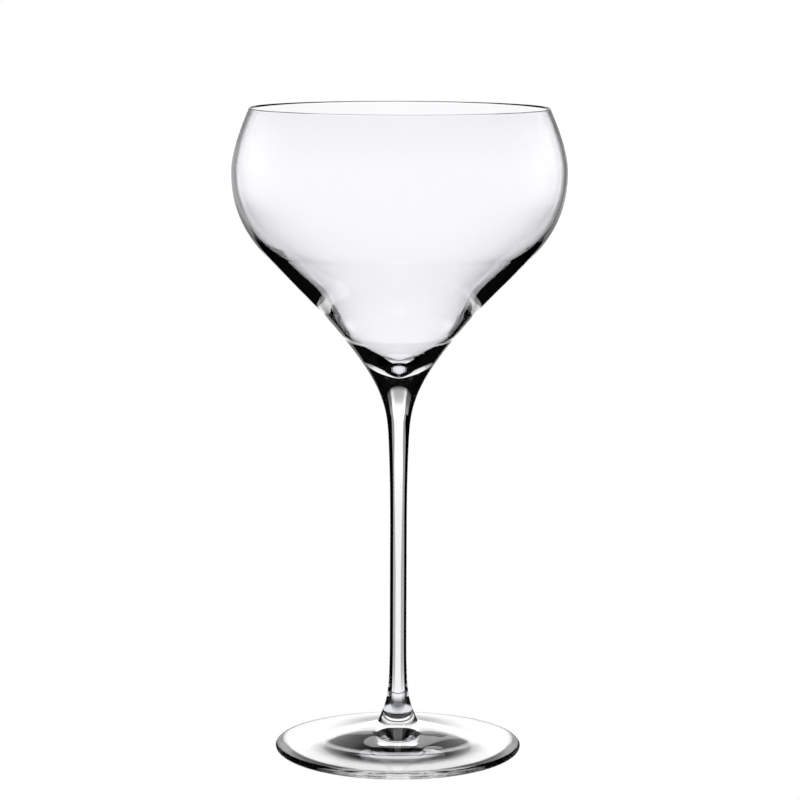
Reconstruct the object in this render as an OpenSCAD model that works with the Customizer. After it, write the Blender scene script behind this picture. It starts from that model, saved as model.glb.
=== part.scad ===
// Nick and nora glass made of three gathers of clear glass: a thin blown bowl, a drawn
// stem and a spun foot, fused face to face while hot. Millimetres, +Z up. The origin lies
// on the table, under the middle of the foot.

/* [Bowl] */
// Outside diameter at the lip
rim_d = 78.2; // [66:0.2:94]
// Largest outside diameter
belly_d = 87.4; // [80:0.2:104]
// Rise from the widest level to the outer edge of the lip
rim_rise = 16.35; // [10:0.05:30]
// Profile radius of the belly below its widest level
belly_round = 30.5; // [22:0.5:37]
// Height of the straight cone under the belly
cone_h = 7; // [3:0.5:12]
// Slope of the cone, in degrees from upright
cone_angle = 44.6; // [42:0.1:47]
// Height from the bottom of the hollow to the widest level
hollow_depth = 52; // [46:0.2:60]
// Thickness of the blown wall at the lip and the belly
bowl_wall = 0.8; // [0.5:0.05:1.2]
// Thickness of the wall where it swells, low on the cone
swell_wall = 2.5; // [1.4:0.05:3]
// Thickness of the wall at the throat, where the rounded bottom begins
throat_wall = 1.9; // [1.4:0.05:3]
// Solid glass between the bottom of the hollow and the bowl's seat on the stem
bowl_floor = 6.4; // [5:0.1:9]

/* [Stem] */
// Diameter at the neck, where the bowl's sweep runs out
neck_d = 5.34; // [4.6:0.02:8]
// Height of the neck below the bowl's seat
neck_h = 12; // [8:0.5:18]
// Slope of the stem at the neck, in degrees from upright
neck_angle = 2.6; // [0:0.1:4]
// Height of the taper from the neck to the waist
taper_h = 26; // [16:0.5:40]
// Diameter of the waist, the thinnest stretch
waist_d = 4.4; // [3.6:0.02:4.6]
// Height of the waist
waist_h = 24; // [5:0.5:50]
// Height of the flare from the foot's seat to the waist
flare_h = 25; // [15:0.5:40]
// Slope of the flare at the foot, in degrees from upright
flare_angle = 23.6; // [10:0.2:40]

/* [Foot] */
// Outside diameter
foot_d = 64.8; // [54:0.2:80]
// Height of the stem's seat above the table
foot_h = 8; // [6:0.1:12]
// Diameter of the stem's seat
seat_d = 10.6; // [8:0.1:14]
// Height of the edge
edge_h = 2.4; // [1.6:0.05:3.2]
// Radius of the edge's upper corner
edge_round = 0.7; // [0.4:0.05:1.2]
// Width of the rounded lift from the standing ring out to the edge
edge_lift_w = 2.8; // [1:0.1:5]
// Width of the flat standing ring
ring_w = 1; // [0.8:0.1:3]
// Depth of the hollow under the foot
kick_h = 2.7; // [1:0.05:3.4]
// Slope of the top beside the stem's seat, in degrees below level
dome_angle = 25; // [14:1:45]

/* [Hidden] */
$fn = 96;
curve_steps = 20;
glass_tint = [0.87, 0.91, 0.94];

// Shares of the spans that the free curves' handles reach along
shoulder_corner_share = 0.36;
shoulder_ease_share = 0.3;
neck_upper_share = 0.7;
neck_lower_share = 0.21;
throat_share = 0.76;
swell_share = 0.16;
hollow_side_share = 0.3;
hollow_floor_share = 0.14;
taper_upper_share = 0.4;
taper_lower_share = 0.3;
flare_upper_share = 0.74;
flare_lower_share = 0.26;
foot_dome_share = 0.14;
foot_brim_share = 0.64;
foot_brim_rise_share = 0.64;
kick_wall_share = 0.49;
kick_roof_share = 0.12;

// Levels, stacked from the table up
flare_top_z = foot_h + flare_h;
waist_top_z = flare_top_z + waist_h;
neck_z = waist_top_z + taper_h;
bowl_seat_z = neck_z + neck_h;
floor_z = bowl_seat_z + bowl_floor;
belly_z = floor_z + hollow_depth;
rim_z = belly_z + rim_rise;

// Points where the stretches of the outline meet
rim_edge = [rim_d / 2, rim_z];
belly_centre = [belly_d / 2 - belly_round, belly_z];
belly_edge = [belly_d / 2, belly_z];
shoulder_corner = [belly_d / 2, belly_z + rim_rise * shoulder_corner_share];
cone_top = belly_centre + belly_round * [cos(cone_angle), -sin(cone_angle)];
cone_end = cone_top - cone_h * [tan(cone_angle), 1];
neck_edge = [neck_d / 2, neck_z];
waist_top = [waist_d / 2, waist_top_z];
waist_low = [waist_d / 2, flare_top_z];
seat_edge = [seat_d / 2, foot_h];

// Point on the line from a to b
function between(a, b, t) = a + (b - a) * t;

// Last two construction points of the free curve from a to d, with b and c as handles
function leg(a, b, c, d, t) = [
    between(between(a, b, t), between(b, c, t), t),
    between(between(b, c, t), between(c, d, t), t)
];
function on_curve(a, b, c, d, t) = let (ends = leg(a, b, c, d, t)) between(ends[0], ends[1], t);

// Unit normal on the right-hand side of the curve as it runs
function right_of(a, b, c, d, t) =
    let (ends = leg(a, b, c, d, t), run = ends[1] - ends[0]) [run.y, -run.x] / norm(run);

// Points of a curve and of an arc, each without its first point
function curve_points(a, b, c, d) = [for (i = [1:curve_steps]) on_curve(a, b, c, d, i / curve_steps)];
function arc_points(centre, radii, from, to) = [
    for (i = [1:curve_steps])
        let (turn = between(from, to, i / curve_steps))
            centre + [radii.x * cos(turn), radii.y * sin(turn)]
];

// Handles of the shoulder, from the belly up to the lip
shoulder = [
    belly_edge,
    shoulder_corner,
    between(rim_edge, shoulder_corner, shoulder_ease_share),
    rim_edge
];

// Handles of the sweep from the neck up to the cone
neck_span = norm(cone_end - neck_edge);
neck_sweep = [
    neck_edge,
    neck_edge + neck_span * neck_lower_share * [sin(neck_angle), cos(neck_angle)],
    cone_end - neck_span * neck_upper_share * [sin(cone_angle), cos(cone_angle)],
    cone_end
];

// Handles of the taper from the waist up to the neck
taper = [
    waist_top,
    waist_top + [0, taper_h * taper_lower_share],
    neck_edge - taper_h * taper_upper_share * [sin(neck_angle), cos(neck_angle)],
    neck_edge
];

// Handles of the flare from the foot's seat up to the waist
flare = [
    seat_edge,
    seat_edge + flare_h * flare_lower_share * [-sin(flare_angle), cos(flare_angle)],
    waist_low - [0, flare_h * flare_upper_share],
    waist_low
];

// Lip: a half round on the end of the wall
lip_normal = right_of(shoulder[0], shoulder[1], shoulder[2], shoulder[3], 1);
lip_angle = atan2(lip_normal.y, lip_normal.x);
lip_round = bowl_wall / 2;
lip_centre = rim_edge - lip_round * lip_normal;

// Outside of the stem and the bowl, from the foot's seat up to the lip
outside = concat(
    [seat_edge],
    curve_points(flare[0], flare[1], flare[2], flare[3]),
    [waist_top],
    curve_points(taper[0], taper[1], taper[2], taper[3]),
    curve_points(neck_sweep[0], neck_sweep[1], neck_sweep[2], neck_sweep[3]),
    [cone_top],
    arc_points(belly_centre, belly_round * [1, 1], -cone_angle, 0),
    curve_points(shoulder[0], shoulder[1], shoulder[2], shoulder[3])
);

// Throat: the level of the neck's sweep where the wall runs into the rounded bottom
throat_normal = right_of(neck_sweep[0], neck_sweep[1], neck_sweep[2], neck_sweep[3], throat_share);
throat_out = on_curve(neck_sweep[0], neck_sweep[1], neck_sweep[2], neck_sweep[3], throat_share);
throat_edge = throat_out - throat_wall * throat_normal;
throat_heading = [throat_normal.y, -throat_normal.x];
swell_z = between(throat_out.y, belly_z, swell_share);
hollow_end = [0, floor_z];
hollow_span = norm(throat_edge - hollow_end);

// Wall thickness where the outside is at level z: it swells late on its way down from the
// belly, and then eases to the throat
function swelling(u) = pow(u, 4) * (5 - 4 * u);
function easing(v) = pow(v, 2) * (3 - 2 * v);
function part_of(from, to, z) = max(0, min(1, (z - from) / (to - from)));
function wall_at(z) =
    bowl_wall
    + (swell_wall - bowl_wall) * swelling(part_of(belly_z, swell_z, z))
    + (throat_wall - swell_wall) * easing(part_of(swell_z, throat_out.y, z));

// Points of the inner wall, set in from the belly's arc and from a curve, without the first
function arc_inset(centre, radius, from, to) = [
    for (i = [1:curve_steps])
        let (turn = between(from, to, i / curve_steps), out = [cos(turn), sin(turn)])
            centre + (radius - wall_at(centre.y + radius * out.y)) * out
];
function curve_inset(a, b, c, d, from, to) = [
    for (i = [1:curve_steps])
        let (t = between(from, to, i / curve_steps), place = on_curve(a, b, c, d, t))
            place - wall_at(place.y) * right_of(a, b, c, d, t)
];

// Inside of the bowl, from the lip down to the bottom of the hollow
inside = concat(
    arc_points(lip_centre, lip_round * [1, 1], lip_angle, lip_angle + 180),
    curve_inset(shoulder[0], shoulder[1], shoulder[2], shoulder[3], 1, 0),
    arc_inset(belly_centre, belly_round, 0, -cone_angle),
    curve_inset(neck_sweep[0], neck_sweep[1], neck_sweep[2], neck_sweep[3], 1, throat_share),
    curve_points(
        throat_edge,
        throat_edge + hollow_span * hollow_side_share * throat_heading,
        hollow_end + [hollow_span * hollow_floor_share, 0],
        hollow_end
    )
);

// Underside and edge of the foot
ring_outer_r = foot_d / 2 - edge_lift_w;
ring_inner_r = ring_outer_r - ring_w;
edge_low_h = edge_h - edge_round;
edge_top = [foot_d / 2 - edge_round, edge_h];
foot_fall = foot_h - edge_h;
foot_reach = edge_top.x - seat_edge.x;

// Half profile of the bowl and the stem, as the glass runs through both
module drawn_profile() {
    polygon(concat([[0, foot_h]], outside, inside));
}

// Band of the half profile between two levels
module level_band(low, high) {
    translate([0, low])
        square([belly_d + rim_d, high - low]);
}

// Blown bowl, cut square at its seat on the stem
module bowl() {
    color(glass_tint)
        rotate_extrude()
            intersection() {
                drawn_profile();
                level_band(bowl_seat_z, rim_z + bowl_wall);
            }
}

// Solid drawn stem between its two seats
module stem() {
    color(glass_tint)
        rotate_extrude()
            intersection() {
                drawn_profile();
                level_band(foot_h, bowl_seat_z);
            }
}

// Spun foot: domed above, hollow below, standing on a flat ring
module foot() {
    dome_handle = seat_edge + foot_fall * foot_dome_share * [cos(dome_angle), -sin(dome_angle)];
    brim_handle = edge_top + [-foot_reach * foot_brim_share, foot_fall * foot_brim_rise_share];
    color(glass_tint)
        rotate_extrude()
            polygon(concat(
                [[0, foot_h], seat_edge],
                curve_points(seat_edge, dome_handle, brim_handle, edge_top),
                arc_points(edge_top - [0, edge_round], edge_round * [1, 1], 90, 0),
                arc_points([ring_outer_r, edge_low_h], [edge_lift_w, edge_low_h], 0, -90),
                [[ring_inner_r, 0]],
                curve_points(
                    [ring_inner_r, 0],
                    [ring_inner_r * kick_wall_share, kick_h],
                    [ring_inner_r * kick_roof_share, kick_h],
                    [0, kick_h]
                )
            ));
}

bowl();
stem();
foot();
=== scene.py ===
import math

import bpy
import numpy as np
from mathutils import Matrix, Vector


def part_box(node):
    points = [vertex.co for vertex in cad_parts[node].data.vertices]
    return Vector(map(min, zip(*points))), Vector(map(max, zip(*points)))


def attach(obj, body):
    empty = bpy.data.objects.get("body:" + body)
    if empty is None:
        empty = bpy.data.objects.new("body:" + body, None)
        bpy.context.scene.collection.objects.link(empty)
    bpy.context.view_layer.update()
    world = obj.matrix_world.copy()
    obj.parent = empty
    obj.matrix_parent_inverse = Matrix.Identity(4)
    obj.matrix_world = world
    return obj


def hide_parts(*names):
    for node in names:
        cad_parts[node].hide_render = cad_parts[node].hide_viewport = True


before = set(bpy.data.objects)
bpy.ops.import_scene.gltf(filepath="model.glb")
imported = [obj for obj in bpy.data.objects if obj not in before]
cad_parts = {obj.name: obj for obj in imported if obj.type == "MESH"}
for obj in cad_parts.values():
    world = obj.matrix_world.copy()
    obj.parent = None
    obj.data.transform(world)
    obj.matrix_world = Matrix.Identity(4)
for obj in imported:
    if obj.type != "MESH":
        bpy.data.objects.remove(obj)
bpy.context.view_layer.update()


# The bowl
# A bubble of clear crystal, blown in a mould, then cut and fire-polished at the lip. Its thin
# wall swells down the cone and runs into a solid floor, which is fused to the top of the stem.
MM = 0.001
RIM_RADIUS = 39.1 * MM
RIM_RISE = 16.35 * MM
BELLY_RADIUS = 43.7 * MM
BELLY_ROUND = 30.5 * MM
CONE_HEIGHT = 7 * MM
CONE_ANGLE = 44.6
HOLLOW_DEPTH = 52 * MM
BOWL_FLOOR = 6.4 * MM
BOWL_WALL = 0.8 * MM
SWELL_WALL = 2.5 * MM
THROAT_WALL = 1.9 * MM
THROAT_SHARE = 0.76
SWELL_SHARE = 0.16
HOLLOW_SIDE_SHARE = 0.3
HOLLOW_FLOOR_SHARE = 0.14
SHOULDER_CORNER_SHARE = 0.36
SHOULDER_EASE_SHARE = 0.3
CURVE_STEPS = 48
NECK_STEPS = 120
TURN_STEPS = 192

BOWL_SEAT_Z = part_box("bowl")[0][2]
FLOOR_Z = BOWL_SEAT_Z + BOWL_FLOOR
BELLY_Z = FLOOR_Z + HOLLOW_DEPTH
RIM_Z = BELLY_Z + RIM_RISE


def sweep(start, lead, lag, end, steps=CURVE_STEPS):
    """Points on a free curve from start to end that leaves towards lead and arrives from lag.

    Each point is the mean of the four, weighted by the terms of (1 - t + t) cubed.
    """
    t = np.linspace(0, 1, steps + 1)[:, None]
    early, late = (1 - t), t
    return early**3 * start + 3 * early**2 * late * lead + 3 * early * late**2 * lag + late**3 * end


def sweep_sides(start, lead, lag, end, steps=CURVE_STEPS):
    """Unit normals on the right of the same curve: its rate of change, turned a quarter turn."""
    t = np.linspace(0, 1, steps + 1)[:, None]
    run = (1 - t) ** 2 * (lead - start) + 2 * (1 - t) * t * (lag - lead) + t**2 * (end - lag)
    side = np.column_stack([run[:, 1], -run[:, 0]])
    return side / np.linalg.norm(side, axis=1)[:, None]


def arc(centre, radii, first, last, steps=CURVE_STEPS):
    """Points on an ellipse about centre, from the angle first to the angle last in degrees."""
    turn = np.radians(np.linspace(first, last, steps + 1))
    return np.column_stack([centre[0] + radii[0] * np.cos(turn), centre[1] + radii[1] * np.sin(turn)])


def heading(degrees):
    """Unit vector that leans outwards from upright by an angle in degrees."""
    return np.array([math.sin(math.radians(degrees)), math.cos(math.radians(degrees))])


def ring_faces(rings, turns):
    """Four-sided faces between rings of points: each joins two neighbours on one ring to the
    same two on the next."""
    here = np.arange(turns)
    there = (here + 1) % turns
    ring = np.arange(rings - 1)[:, None] * turns
    corners = [ring + here, ring + there, ring + turns + there, ring + turns + here]
    return np.stack(corners, axis=2).reshape(-1, 4)


def turned(name, profile, materials, welds):
    """Closed solid of revolution: the half profile (radius, height), which starts and ends on
    the axis, is carried round Z. A ring point is (radius cos a, radius sin a, height), and the
    two axis points are poles. welds lists the bands that lie against another gather."""
    rings = profile[1:-1]
    angle = np.arange(TURN_STEPS) * (2 * math.pi / TURN_STEPS)
    circle = np.stack([np.cos(angle), np.sin(angle)], axis=1)
    wall = np.concatenate(
        [
            rings[:, None, :1] * circle[None],
            np.broadcast_to(rings[:, None, 1:], (len(rings), TURN_STEPS, 1)),
        ],
        axis=2,
    ).reshape(-1, 3)
    poles = np.array([[0, 0, profile[0, 1]], [0, 0, profile[-1, 1]]])
    quads = ring_faces(len(rings), TURN_STEPS)
    here = np.arange(TURN_STEPS)
    there = (here + 1) % TURN_STEPS
    last = (len(rings) - 1) * TURN_STEPS
    start_pole, end_pole = len(wall), len(wall) + 1
    start_fan = np.column_stack([there, here, np.full(TURN_STEPS, start_pole)])
    end_fan = np.column_stack([last + here, last + there, np.full(TURN_STEPS, end_pole)])
    faces = start_fan.tolist() + quads.tolist() + end_fan.tolist()
    mesh = bpy.data.meshes.new(name)
    mesh.from_pydata(np.vstack([wall, poles]), [], faces)
    bands = len(profile) - 1
    band_of_face = np.repeat(np.arange(bands), TURN_STEPS)
    is_weld = np.isin(band_of_face, [weld % bands for weld in welds])
    mesh.polygons.foreach_set("material_index", is_weld.astype(np.int32))
    mesh.polygons.foreach_set("use_smooth", ~is_weld)
    for material in materials:
        mesh.materials.append(material)
    mesh.update()
    piece = bpy.data.objects.new(name, mesh)
    bpy.context.scene.collection.objects.link(piece)
    return piece


def linear(hex_colour):
    """Linear RGBA of an sRGB hex colour: a power of 2.4 above the toe, a straight line below."""
    channels = np.array([int(hex_colour[i : i + 2], 16) for i in (1, 3, 5)]) / 255
    low, high = channels / 12.92, ((channels + 0.055) / 1.055) ** 2.4
    return (*np.where(channels <= 0.04045, low, high).tolist(), 1.0)


def bare_material(name):
    """A new material with no nodes in it yet."""
    material = bpy.data.materials.new(name)
    material.use_nodes = True
    material.node_tree.nodes.clear()
    return material


def add_node(material, kind, settings, links=()):
    """Adds a node, sets its sockets by name, and links (from node, from socket, to socket)."""
    tree = material.node_tree
    made = tree.nodes.new(kind)
    for key, value in settings.items():
        if key in made.inputs:
            made.inputs[key].default_value = value
        else:
            setattr(made, key, value)
    for source, output, entry in links:
        tree.links.new(source.outputs[output], made.inputs[entry])
    return made


CRYSTAL_IOR = 1.5
BLUER_MELT, CLEAR_MELT = "#FDFDFF", "#FEFEFF"
RIPPLE_SPACING = 28 * MM
RIPPLE_DEPTH = 0.015 * MM
RIPPLE_DETAIL = 1.0
WEAR_SPACING = 11 * MM
WEAR_DETAIL = 4.0
WEAR_STARTS, WEAR_FULL = 0.5, 0.8
WEAR_ROUGHNESS = 0.012


def crystal_glass():
    """Clear crystal, fire-polished. Slow swells left by the blowing bend the light a little,
    the melt is a trace bluer in places, and handling has softened the polish in patches."""
    material = bare_material("fire_polished_crystal")
    place = add_node(material, "ShaderNodeTexCoord", {})
    swells = add_node(
        material,
        "ShaderNodeTexNoise",
        {"Scale": 1 / RIPPLE_SPACING, "Detail": RIPPLE_DETAIL},
        [(place, "Object", "Vector")],
    )
    ripple = add_node(material, "ShaderNodeBump", {"Distance": RIPPLE_DEPTH}, [(swells, "Fac", "Height")])
    melt = add_node(material, "ShaderNodeValToRGB", {}, [(swells, "Fac", "Fac")])
    melt.color_ramp.elements[0].color = linear(BLUER_MELT)
    melt.color_ramp.elements[1].color = linear(CLEAR_MELT)
    patches = add_node(
        material,
        "ShaderNodeTexNoise",
        {"Scale": 1 / WEAR_SPACING, "Detail": WEAR_DETAIL},
        [(place, "Object", "Vector")],
    )
    wear = add_node(
        material,
        "ShaderNodeMapRange",
        {"From Min": WEAR_STARTS, "From Max": WEAR_FULL, "To Max": WEAR_ROUGHNESS},
        [(patches, "Fac", "Value")],
    )
    shader = add_node(
        material,
        "ShaderNodeBsdfPrincipled",
        {"IOR": CRYSTAL_IOR, "Transmission Weight": 1.0},
        [(melt, "Color", "Base Color"), (wear, "Result", "Roughness"), (ripple, "Normal", "Normal")],
    )
    add_node(material, "ShaderNodeOutputMaterial", {}, [(shader, "BSDF", "Surface")])
    return material


def fused_seam():
    """Where two gathers have flowed into one there is no surface, so light passes straight on."""
    material = bare_material("fused_crystal_seam")
    shader = add_node(
        material, "ShaderNodeBsdfPrincipled", {"Base Color": linear(CLEAR_MELT), "Alpha": 0.0}
    )
    add_node(material, "ShaderNodeOutputMaterial", {}, [(shader, "BSDF", "Surface")])
    return material


glass_and_seam = [crystal_glass(), fused_seam()]

belly_centre = np.array([BELLY_RADIUS - BELLY_ROUND, BELLY_Z])
cone_heading = heading(CONE_ANGLE)
cone_normal = np.array([cone_heading[1], -cone_heading[0]])

rim_edge = np.array([RIM_RADIUS, RIM_Z])
belly_edge = np.array([BELLY_RADIUS, BELLY_Z])
shoulder_corner = belly_edge + [0, RIM_RISE * SHOULDER_CORNER_SHARE]
shoulder_ease = rim_edge + (shoulder_corner - rim_edge) * SHOULDER_EASE_SHARE
cone_top = belly_centre + BELLY_ROUND * cone_normal
cone_end = cone_top - cone_heading * CONE_HEIGHT / cone_heading[1]

# The sweep under the cone runs on through the bowl's floor into the neck of the stem.
NECK_RADIUS = 2.67 * MM
NECK_HEIGHT = 12 * MM
NECK_ANGLE = 2.6
NECK_UPPER_SHARE = 0.7
NECK_LOWER_SHARE = 0.21
neck_edge = np.array([NECK_RADIUS, BOWL_SEAT_Z - NECK_HEIGHT])
neck_span = np.linalg.norm(cone_end - neck_edge)
neck_hull = (
    neck_edge,
    neck_edge + neck_span * NECK_LOWER_SHARE * heading(NECK_ANGLE),
    cone_end - neck_span * NECK_UPPER_SHARE * cone_heading,
    cone_end,
)
neck_sweep = sweep(*neck_hull, NECK_STEPS)

# Rings close to the weld, on a finer run of the same sweep, keep the shading smooth across it.
SEAM_RING = 0.02 * MM
SEAM_SPLITS = 40
close_sweep = sweep(*neck_hull, NECK_STEPS * SEAM_SPLITS)
seam_z = BOWL_SEAT_Z + np.array([-SEAM_RING, 0, SEAM_RING])
below_seam, bowl_seat, above_seam = np.column_stack(
    [np.interp(seam_z, close_sweep[:, 1], close_sweep[:, 0]), seam_z]
)
above_seat = neck_sweep[:, 1] > above_seam[1]
below_seat = neck_sweep[:, 1] < below_seam[1]

# Inside, the wall is set off from the outside, from the widest level down to the throat.
throat = round(NECK_STEPS * THROAT_SHARE)
throat_side = sweep_sides(*neck_hull, NECK_STEPS)[throat:]
throat_z = neck_sweep[throat, 1]
SWELL_Z = throat_z + SWELL_SHARE * (BELLY_Z - throat_z)


def wall_at(height):
    """Thickness of the wall where the outside is at a height. It swells from the belly down by
    the curve u^4 (5 - 4u), then eases to the throat by v^2 (3 - 2v)."""
    u = np.clip((BELLY_Z - height) / (BELLY_Z - SWELL_Z), 0, 1)
    v = np.clip((SWELL_Z - height) / (SWELL_Z - throat_z), 0, 1)
    swell, ease = u**4 * (5 - 4 * u), v**2 * (3 - 2 * v)
    return BOWL_WALL + (SWELL_WALL - BOWL_WALL) * swell + (THROAT_WALL - SWELL_WALL) * ease


belly_out = arc(belly_centre, (BELLY_ROUND,) * 2, 0, -CONE_ANGLE)
outer_wall = np.vstack([belly_out, neck_sweep[throat:][::-1]])
outer_side = np.vstack([(belly_out - belly_centre) / BELLY_ROUND, throat_side[::-1]])
inner_wall = outer_wall - wall_at(outer_wall[:, 1:]) * outer_side
throat_edge = inner_wall[-1]
throat_heading = np.array([-throat_side[0][1], throat_side[0][0]])
hollow_end = np.array([0, FLOOR_Z])
hollow_span = np.linalg.norm(throat_edge - hollow_end)
hollow = sweep(
    throat_edge,
    throat_edge - hollow_span * HOLLOW_SIDE_SHARE * throat_heading,
    hollow_end + [hollow_span * HOLLOW_FLOOR_SHARE, 0],
    hollow_end,
)

shoulder_out = sweep(belly_edge, shoulder_corner, shoulder_ease, rim_edge)
shoulder_side = sweep_sides(belly_edge, shoulder_corner, shoulder_ease, rim_edge)
lip_normal = shoulder_side[-1]
lip_angle = math.degrees(math.atan2(lip_normal[1], lip_normal[0]))
lip_round = BOWL_WALL / 2
lip_centre = rim_edge - lip_round * lip_normal
bowl_profile = np.vstack(
    [
        [[0, BOWL_SEAT_Z], bowl_seat, above_seam],
        neck_sweep[above_seat],
        belly_out[::-1],
        shoulder_out[1:],
        arc(lip_centre, (lip_round,) * 2, lip_angle, lip_angle + 180)[1:-1],
        (shoulder_out - BOWL_WALL * shoulder_side)[::-1],
        inner_wall[1:],
        hollow[1:],
    ]
)
bowl = turned("blown_bowl", bowl_profile, glass_and_seam, welds=[0])
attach(bowl, "root")
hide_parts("bowl")


# The stem
# A solid rod of the same crystal, drawn out while soft, so it tapers to a long waist and
# flares again at its foot. Its two ends are fused to the bowl and to the foot.
WAIST_RADIUS = 2.2 * MM
TAPER_HEIGHT = 26 * MM
FLARE_HEIGHT = 25 * MM
FLARE_ANGLE = 23.6
SEAT_RADIUS = 5.3 * MM
TAPER_UPPER_SHARE = 0.4
TAPER_LOWER_SHARE = 0.3
FLARE_UPPER_SHARE = 0.74
FLARE_LOWER_SHARE = 0.26

FOOT_SEAT_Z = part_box("stem")[0][2]
seat_edge = np.array([SEAT_RADIUS, FOOT_SEAT_Z])
waist_low = np.array([WAIST_RADIUS, FOOT_SEAT_Z + FLARE_HEIGHT])
waist_top = np.array([WAIST_RADIUS, neck_edge[1] - TAPER_HEIGHT])
flare = sweep(
    seat_edge,
    seat_edge + FLARE_HEIGHT * FLARE_LOWER_SHARE * heading(-FLARE_ANGLE),
    waist_low - [0, FLARE_HEIGHT * FLARE_UPPER_SHARE],
    waist_low,
)
taper = sweep(
    waist_top,
    waist_top + [0, TAPER_HEIGHT * TAPER_LOWER_SHARE],
    neck_edge - TAPER_HEIGHT * TAPER_UPPER_SHARE * heading(NECK_ANGLE),
    neck_edge,
)
stem_profile = np.vstack(
    [
        [[0, FOOT_SEAT_Z]],
        flare,
        taper,
        neck_sweep[1:][below_seat[1:]],
        [below_seam, bowl_seat, [0, BOWL_SEAT_Z]],
    ]
)
stem = turned("drawn_stem", stem_profile, glass_and_seam, welds=[0, -1])
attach(stem, "root")
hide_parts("stem")


# The foot
# A small gather spun out flat on the end of the stem: domed above, slightly hollow below,
# rounded at its edge, and standing on a narrow ring just inside the edge.
FOOT_RADIUS = 32.4 * MM
EDGE_HEIGHT = 2.4 * MM
EDGE_ROUND = 0.7 * MM
EDGE_LIFT_WIDTH = 2.8 * MM
RING_WIDTH = 1 * MM
KICK_HEIGHT = 2.7 * MM
DOME_ANGLE = 25
DOME_SHARE = 0.14
BRIM_SHARE = 0.64
BRIM_RISE_SHARE = 0.64
KICK_WALL_SHARE = 0.49
KICK_ROOF_SHARE = 0.12

ring_outer = FOOT_RADIUS - EDGE_LIFT_WIDTH
ring_inner = ring_outer - RING_WIDTH
edge_low = EDGE_HEIGHT - EDGE_ROUND
edge_top = np.array([FOOT_RADIUS - EDGE_ROUND, EDGE_HEIGHT])
foot_fall = FOOT_SEAT_Z - EDGE_HEIGHT
foot_reach = edge_top[0] - SEAT_RADIUS
underside = sweep(
    np.array([0, KICK_HEIGHT]),
    np.array([ring_inner * KICK_ROOF_SHARE, KICK_HEIGHT]),
    np.array([ring_inner * KICK_WALL_SHARE, KICK_HEIGHT]),
    np.array([ring_inner, 0]),
)
dome = sweep(
    edge_top,
    edge_top + [-foot_reach * BRIM_SHARE, foot_fall * BRIM_RISE_SHARE],
    seat_edge + foot_fall * DOME_SHARE * heading(90 + DOME_ANGLE),
    seat_edge,
)
foot_profile = np.vstack(
    [
        underside,
        arc((ring_outer, edge_low), (EDGE_LIFT_WIDTH, edge_low), -90, 0),
        arc(edge_top - [0, EDGE_ROUND], (EDGE_ROUND,) * 2, 0, 90)[1:],
        dome[1:],
        [[0, FOOT_SEAT_Z]],
    ]
)
foot = turned("spun_foot", foot_profile, glass_and_seam, welds=[-1])
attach(foot, "root")
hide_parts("foot")


# The camera
# A long lens, a little above the lip, so the rim is a thin ellipse and the foot an open one.
IMAGE_SIDE = 800
FOCAL_PIXELS = 3024
SENSOR = 36
CAMERA_PLACE = Vector((0.0003, -0.7822, 0.2062))
CAMERA_TILT = 8.174
CAMERA_ROLL = 0.19

camera = bpy.data.objects.new("camera", bpy.data.cameras.new("camera"))
camera.data.sensor_width = SENSOR
camera.data.lens = SENSOR * FOCAL_PIXELS / IMAGE_SIDE
camera.matrix_world = (
    Matrix.Translation(CAMERA_PLACE)
    @ Matrix.Rotation(math.radians(90 - CAMERA_TILT), 4, "X")
    @ Matrix.Rotation(math.radians(CAMERA_ROLL), 4, "Z")
)
bpy.context.scene.collection.objects.link(camera)
bpy.context.scene.camera = camera


# The table and the backdrop
# Plain white, evenly lit, and seen by the camera alone. The glass is shown the light, the flags
# and the painted shadow patch below instead. The studio's sizes and places are in metres.
STAGE_REACH = 6.0
BACKDROP_AWAY = 4.0


def even_light(name, hex_colour, strength):
    """Even light of one colour, with no shading of its own."""
    material = bare_material(name)
    light = add_node(
        material, "ShaderNodeEmission", {"Color": linear(hex_colour), "Strength": strength}
    )
    add_node(material, "ShaderNodeOutputMaterial", {}, [(light, "Emission", "Surface")])
    return material


def stage_mesh(name, points, faces, material, **levels):
    """A piece of the studio, which isn't part of the object. Each of the levels is a number
    that every point carries for the material to read."""
    mesh = bpy.data.meshes.new(name)
    mesh.from_pydata(points, [], faces)
    for level, values in levels.items():
        attribute = mesh.attributes.new(level, "FLOAT", "POINT")
        attribute.data.foreach_set("value", values.astype(np.float32).ravel())
    mesh.materials.append(material)
    card = bpy.data.objects.new(name, mesh)
    bpy.context.scene.collection.objects.link(card)
    return card


def follow_camera(card):
    """Hangs a card from the camera, so that it goes round the glass with it."""
    card.parent = camera
    card.matrix_parent_inverse = camera.matrix_world.inverted()


even_white = even_light("even_white_light", "#FFFFFF", 1.0)
square = STAGE_REACH * np.array([(-1, -1), (1, -1), (1, 1), (-1, 1)])
table = stage_mesh("floor", np.insert(square, 2, 0, axis=1), [range(4)], even_white)
backdrop = stage_mesh("backdrop", np.insert(square, 1, BACKDROP_AWAY, axis=1), [range(4)], even_white)
for card in (table, backdrop):
    card.visible_transmission = False
    card.visible_glossy = False
    card.visible_diffuse = False
follow_camera(backdrop)


# The light behind the glass
# A diffusing panel, brighter in some places than in others. The camera doesn't see it, but
# the glass bends it into view. It goes round the glass with the camera.
LIGHT_AWAY = 0.38
LIGHT_LEFT, LIGHT_RIGHT = -0.242, 0.2
LIGHT_LOW, LIGHT_HIGH = -0.4, 0.3
LIGHT_COLUMNS, LIGHT_ROWS = 120, 160
LIGHT_STRENGTH = 1.15

# Its share of the full light, by height.
FADE_HEIGHTS = (-0.3, -0.2, 0.0, 0.03, 0.13, 0.16, 0.182, 0.212, 0.26, 0.3)
FADE_SHARES = (0.72, 0.86, 0.87, 1.0, 1.0, 0.9, 0.6, 0.45, 0.38, 0.0)

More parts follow.
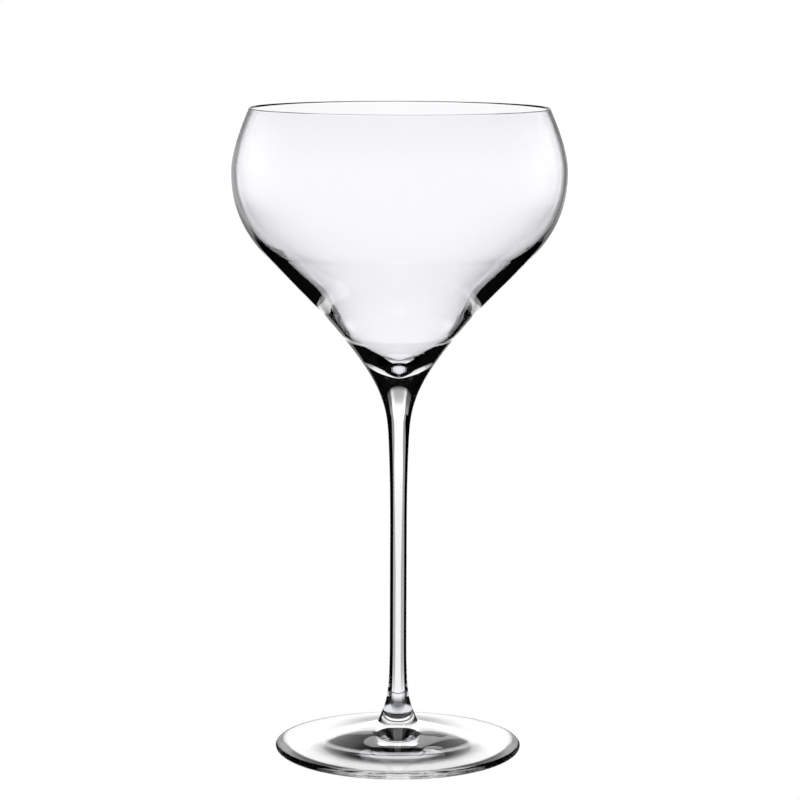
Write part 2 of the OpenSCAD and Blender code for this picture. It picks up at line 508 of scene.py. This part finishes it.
# Two brighter flanks in its upper part, which gain light in two steps of height.
FLANK_OUT, FLANK_WIDTH = 0.092, 0.026
FLANK_STEP, FLANK_GAIN = (0.085, 0.12), 0.5
FLANK_STEP_HIGH, FLANK_GAIN_HIGH = (0.12, 0.155), 0.35

# Two dimmer wings at its sides: how far out each starts and its share of the light, by height.
WING_HEIGHTS = (-0.17, -0.12, -0.08, -0.03, 0.0, 0.022, 0.04, 0.075, 0.085, 0.12)
WING_STARTS = (0.075, 0.075, 0.075, 0.075, 0.12, 0.125, 0.1, 0.095, 0.095, 0.105)
WING_SHARES = (0.95, 0.7, 0.48, 0.45, 0.4, 0.3, 0.3, 0.3, 0.3, 0.3)
WING_SOFTNESS = 0.022


def soft(start, end, value):
    """Rise from 0 to 1 between start and end, by v^2 (3 - 2v)."""
    v = np.clip((value - start) / (end - start), 0, 1)
    return v**2 * (3 - 2 * v)


def panel_glow(across, up):
    """Light at each point of the panel: its share by height, times 1 plus a bell curve about
    each flank, times the soft step down to the wings."""
    out = np.abs(across)
    bell = np.exp(-(((out - FLANK_OUT) / FLANK_WIDTH) ** 2))
    flanks = 1 + bell * (
        FLANK_GAIN * soft(*FLANK_STEP, up) + FLANK_GAIN_HIGH * soft(*FLANK_STEP_HIGH, up)
    )
    wing_start = np.interp(up, WING_HEIGHTS, WING_STARTS)
    wing_share = np.interp(up, WING_HEIGHTS, WING_SHARES)
    wings = 1 - (1 - wing_share) * soft(wing_start, wing_start + WING_SOFTNESS, out)
    return LIGHT_STRENGTH * np.interp(up, FADE_HEIGHTS, FADE_SHARES) * flanks * wings


def light_by_point(name, hex_colour):
    """A material and its light, of one colour, as strong at each point as its glow says."""
    material = bare_material(name)
    glow = add_node(material, "ShaderNodeAttribute", {"attribute_name": "glow"})
    light = add_node(
        material, "ShaderNodeEmission", {"Color": linear(hex_colour)}, [(glow, "Fac", "Strength")]
    )
    return material, light


panel_across, panel_up = np.meshgrid(
    np.linspace(LIGHT_LEFT, LIGHT_RIGHT, LIGHT_COLUMNS), np.linspace(LIGHT_LOW, LIGHT_HIGH, LIGHT_ROWS)
)
panel_away = np.full_like(panel_up, LIGHT_AWAY)
panel_points = np.stack([panel_across, panel_away, panel_up], axis=2).reshape(-1, 3)
corner = np.arange(LIGHT_ROWS - 1)[:, None] * LIGHT_COLUMNS + np.arange(LIGHT_COLUMNS - 1)
panel_faces = np.stack(
    [corner, corner + 1, corner + 1 + LIGHT_COLUMNS, corner + LIGHT_COLUMNS], axis=2
).reshape(-1, 4)
diffuser, diffused = light_by_point("lit_diffuser", "#FFFFFF")
add_node(diffuser, "ShaderNodeOutputMaterial", {}, [(diffused, "Emission", "Surface")])
back_light = stage_mesh(
    "back_light", panel_points, panel_faces.tolist(), diffuser, glow=panel_glow(panel_across, panel_up)
)
back_light.visible_camera = False
follow_camera(back_light)


# The flags
# Two cards of black felt between the light and the lower bowl, one on each side. Through the
# thick wall of the cone they show as black patches. They go round with the camera too.
FLAG_AWAY = 0.1
FLAG_FAR = 0.3
FLAG_HEIGHTS = (-0.05, 0.05, 0.068, 0.074, 0.08, 0.086, 0.1)
LEFT_FLAG_EDGE = (0.0655, 0.0655, 0.06, 0.055, 0.048, 0.0435, 0.042)
RIGHT_FLAG_EDGE = (0.0535, 0.0535, 0.055, 0.053, 0.05, 0.047, 0.046)

black_felt = even_light("black_felt", "#000000", 0.0)
for name, side, edge in (("left_flag", -1, LEFT_FLAG_EDGE), ("right_flag", 1, RIGHT_FLAG_EDGE)):
    outline = [*zip(edge, FLAG_HEIGHTS), (FLAG_FAR, FLAG_HEIGHTS[-1]), (FLAG_FAR, FLAG_HEIGHTS[0])]
    corners = [(side * out, FLAG_AWAY, height) for out, height in outline]
    flag = stage_mesh(name, corners, [range(len(corners))], black_felt)
    flag.visible_camera = False
    follow_camera(flag)


# Painted light and shadow under the foot
# A round glowing patch that only the glass sees, with light and shade painted on it: painted light
# under the stem, a painted shadow in a ring about that, and clear towards its edge. It stays in place
# when the camera moves.
PATCH_RINGS, PATCH_TURNS = 60, 72
PATCH_START = 0.0005
PAINTED_SHADOW_FALLS = (0.007, 0.012)
PATCH_CLEARS = (0.014, 0.025)
# Glow levels of the painted light under the stem and of the painted shadow ring, not a table's colour.
PAINTED_LIGHT_UNDER_STEM, PAINTED_SHADOW_LEVEL = 0.95, 0.03

patch_radius = np.linspace(PATCH_START, PATCH_CLEARS[1], PATCH_RINGS)[:, None]
patch_turn = np.arange(PATCH_TURNS) * (2 * math.pi / PATCH_TURNS)
patch_x, patch_y = patch_radius * np.cos(patch_turn), patch_radius * np.sin(patch_turn)
patch_points = np.stack([patch_x, patch_y, np.zeros_like(patch_x)], axis=2).reshape(-1, 3)
patch_faces = ring_faces(PATCH_RINGS, PATCH_TURNS)[:, ::-1].tolist() + [range(PATCH_TURNS)]
from_centre = np.hypot(patch_x, patch_y)
# Painted shading: pale painted light under the stem, falling to a painted shadow ring about it.
painted_light_and_shadow = PAINTED_LIGHT_UNDER_STEM + (PAINTED_SHADOW_LEVEL - PAINTED_LIGHT_UNDER_STEM) * soft(*PAINTED_SHADOW_FALLS, from_centre)
patch_cover = 1 - soft(*PATCH_CLEARS, from_centre)

# The patch's material: painted light and a painted shadow under the foot, glowing though it is no lamp.
foot_shadow_paint, painted_glow = light_by_point("painted_light_and_shadow_under_foot", "#F8FAFF")
cover = add_node(foot_shadow_paint, "ShaderNodeAttribute", {"attribute_name": "cover"})
clear = add_node(foot_shadow_paint, "ShaderNodeBsdfTransparent", {})
mixed = add_node(
    foot_shadow_paint,
    "ShaderNodeMixShader",
    {},
    [(cover, "Fac", 0), (clear, "BSDF", 1), (painted_glow, "Emission", 2)],
)
add_node(foot_shadow_paint, "ShaderNodeOutputMaterial", {}, [(mixed, "Shader", "Surface")])
patch = stage_mesh(
    "painted_shadow_under_foot", patch_points, patch_faces, foot_shadow_paint, glow=painted_light_and_shadow, cover=patch_cover
)
patch.visible_camera = False


# The room
# Dark, so that what the glass bends far aside comes out black and draws its edges. Light
# turns back many times inside the thick parts, so it is followed further than usual.
ROOM_COLOUR = "#0A0A0B"
GLASS_BOUNCES = 32

world = bpy.data.worlds.new("dark_room")
world.use_nodes = True
world.node_tree.nodes["Background"].inputs["Color"].default_value = linear(ROOM_COLOUR)
bpy.context.scene.world = world
bpy.context.scene.view_settings.view_transform = "Standard"
bpy.context.scene.cycles.max_bounces = GLASS_BOUNCES
bpy.context.scene.cycles.transmission_bounces = GLASS_BOUNCES
bpy.context.scene.cycles.glossy_bounces = GLASS_BOUNCES
